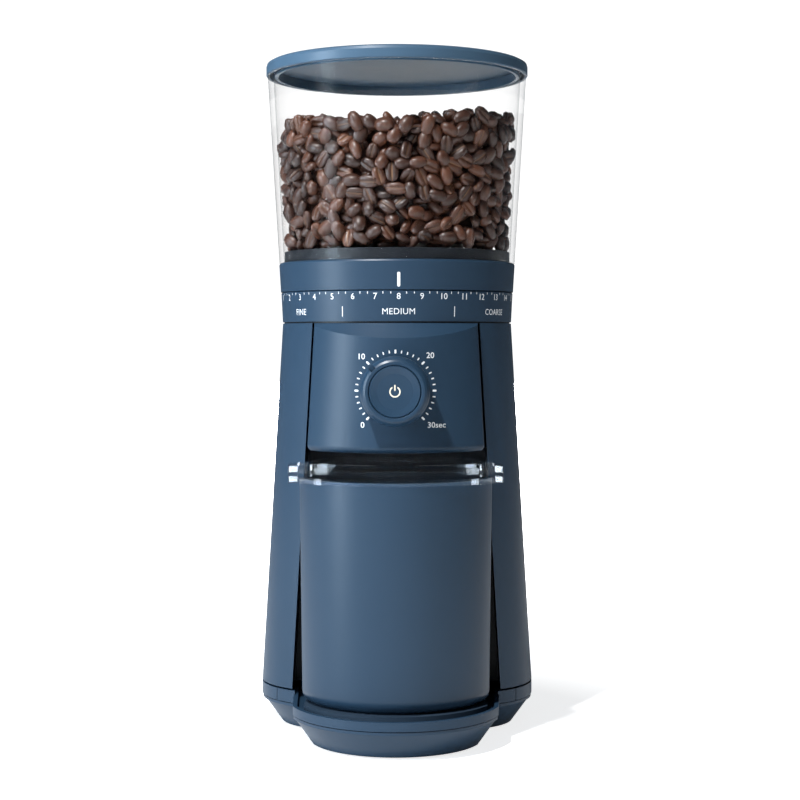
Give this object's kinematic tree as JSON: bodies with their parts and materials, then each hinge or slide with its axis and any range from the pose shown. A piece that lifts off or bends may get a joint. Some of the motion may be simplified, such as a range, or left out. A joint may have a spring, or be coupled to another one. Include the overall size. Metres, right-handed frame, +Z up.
{
  "type": "burr coffee grinder",
  "caption": "Tall burr coffee grinder: clear bean hopper that turns to set the grind, timer dial with start button, slide-out grounds container.",
  "frame": {"origin": "middle of the whole object's footprint, on the table that it stands on", "axes": "+Z up, the front with the dial and container faces -Y, +X to the right seen from the front"},
  "size_m": [0.1714, 0.218, 0.4167],
  "materials": {
    "body_plastic": "satin",
    "dark_plastic": "satin",
    "clear_plastic": "clear",
    "silicone": "matte",
    "rubber_foot": "matte",
    "burr_steel": "ground",
    "steel": "brushed",
    "screw_steel": "blackened",
    "carrier_alloy": "cast",
    "gear_plastic": "moulded",
    "brass_pinion": "cut",
    "motor_core": "laminated",
    "circuit_board": "lacquered",
    "lead_insulation": "plain",
    "roasted_beans": "roasted"
  },
  "bodies": {
    "housing": {"base_pan": "body_plastic", "base_tray": "body_plastic", "base_band": "body_plastic", "tray_pad": "silicone", "rubber_feet": "rubber_foot", "base_screws": "screw_steel", "rear_housing": "body_plastic", "front_panel": "body_plastic", "bay_liner": "dark_plastic", "head_underside": "dark_plastic", "top_deck": "dark_plastic", "scale_ring": "body_plastic", "housing_screws": "screw_steel", "grinding_chamber": "dark_plastic", "grounds_chute": "dark_plastic", "chute_flap": "silicone", "shaft_bearings": "steel", "gearbox_lower": "dark_plastic", "gearbox_upper": "dark_plastic", "idler_axle": "steel", "motor_bracket": "steel", "motor_isolators": "silicone", "motor_can": "steel", "motor_magnets": "motor_core", "motor_end_cap": "dark_plastic", "motor_leads": "lead_insulation", "control_board": "circuit_board", "power_board": "circuit_board", "timer_pot": "dark_plastic", "start_switch": "dark_plastic", "interlock_switch": "dark_plastic", "cord_inlet": "dark_plastic"},
    "adjuster": {"adjusting_ring": "dark_plastic", "spring_seat": "dark_plastic", "carrier_spring": "steel"},
    "burr_holder": {"burr_carrier": "carrier_alloy", "ring_burr": "burr_steel", "carrier_gasket": "silicone"},
    "spindle": {"drive_shaft": "steel", "cone_burr": "burr_steel", "burr_bolt": "screw_steel", "sweeper": "dark_plastic", "output_gear": "gear_plastic"},
    "idler": {"idler_gear": "gear_plastic"},
    "rotor": {"motor_rotor": "motor_core", "rotor_pinion": "brass_pinion"},
    "hopper": {"bean_hopper": "clear_plastic", "hopper_collar": "body_plastic", "hopper_floor": "dark_plastic", "gate_pin": "steel", "coffee_beans": "roasted_beans"},
    "gate": {"hopper_gate": "dark_plastic"},
    "lid": {"hopper_lid": "body_plastic", "lid_seal": "silicone"},
    "dial": {"timer_knob": "body_plastic", "button_spring": "silicone"},
    "button": {"start_button": "body_plastic"},
    "container": {"grounds_container": "body_plastic", "container_lid": "clear_plastic"}
  },
  "joints": [
    {"name": "grind_adjust", "type": "hinge", "parent": "housing", "child": "adjuster", "pos_m": [0, 0.011, 0.26], "axis": [0, 0, 1], "range_deg": [-77, 77]},
    {"name": "burr_travel", "type": "slide", "parent": "housing", "child": "burr_holder", "axis": [0, 0, 1], "range_m": [-0.0006, 0.0006], "deforming": ["carrier_spring"]},
    {"name": "spindle_spin", "type": "hinge", "parent": "housing", "child": "spindle", "pos_m": [0, 0.011, 0.2], "axis": [0, 0, 1], "continuous": true},
    {"name": "idler_spin", "type": "hinge", "parent": "housing", "child": "idler", "pos_m": [0.0196, 0.03371, 0.19], "axis": [0, 0, 1], "continuous": true},
    {"name": "rotor_spin", "type": "hinge", "parent": "housing", "child": "rotor", "pos_m": [0, 0.053, 0.13], "axis": [0, 0, 1], "continuous": true},
    {"name": "hopper_lift", "type": "slide", "parent": "adjuster", "child": "hopper", "axis": [0, 0, 1], "range_m": [0, 0.06]},
    {"name": "gate_swing", "type": "hinge", "parent": "hopper", "child": "gate", "pos_m": [0, 0.045, 0.276], "axis": [0, 0, 1], "range_deg": [-72, 0]},
    {"name": "lid_lift", "type": "slide", "parent": "hopper", "child": "lid", "axis": [0, 0, 1], "range_m": [0, 0.08]},
    {"name": "timer_turn", "type": "hinge", "parent": "housing", "child": "dial", "pos_m": [0, -0.069, 0.2123], "axis": [0, 1, 0], "range_deg": [-90, 180]},
    {"name": "start_press", "type": "slide", "parent": "housing", "child": "button", "axis": [0, 1, 0], "range_m": [0, 0.0018], "stiffness_N_per_m": 400, "springref_m": -0.002, "deforming": ["button_spring"]},
    {"name": "container_slide", "type": "slide", "parent": "housing", "child": "container", "axis": [0, -1, 0], "range_m": [0, 0.14]}
  ],
  "couplings": [
    {"joint": "burr_travel", "follows": "grind_adjust", "m_per_rad": 0.000446},
    {"joint": "idler_spin", "follows": "spindle_spin", "ratio": -3},
    {"joint": "rotor_spin", "follows": "spindle_spin", "ratio": 8}
  ]
}
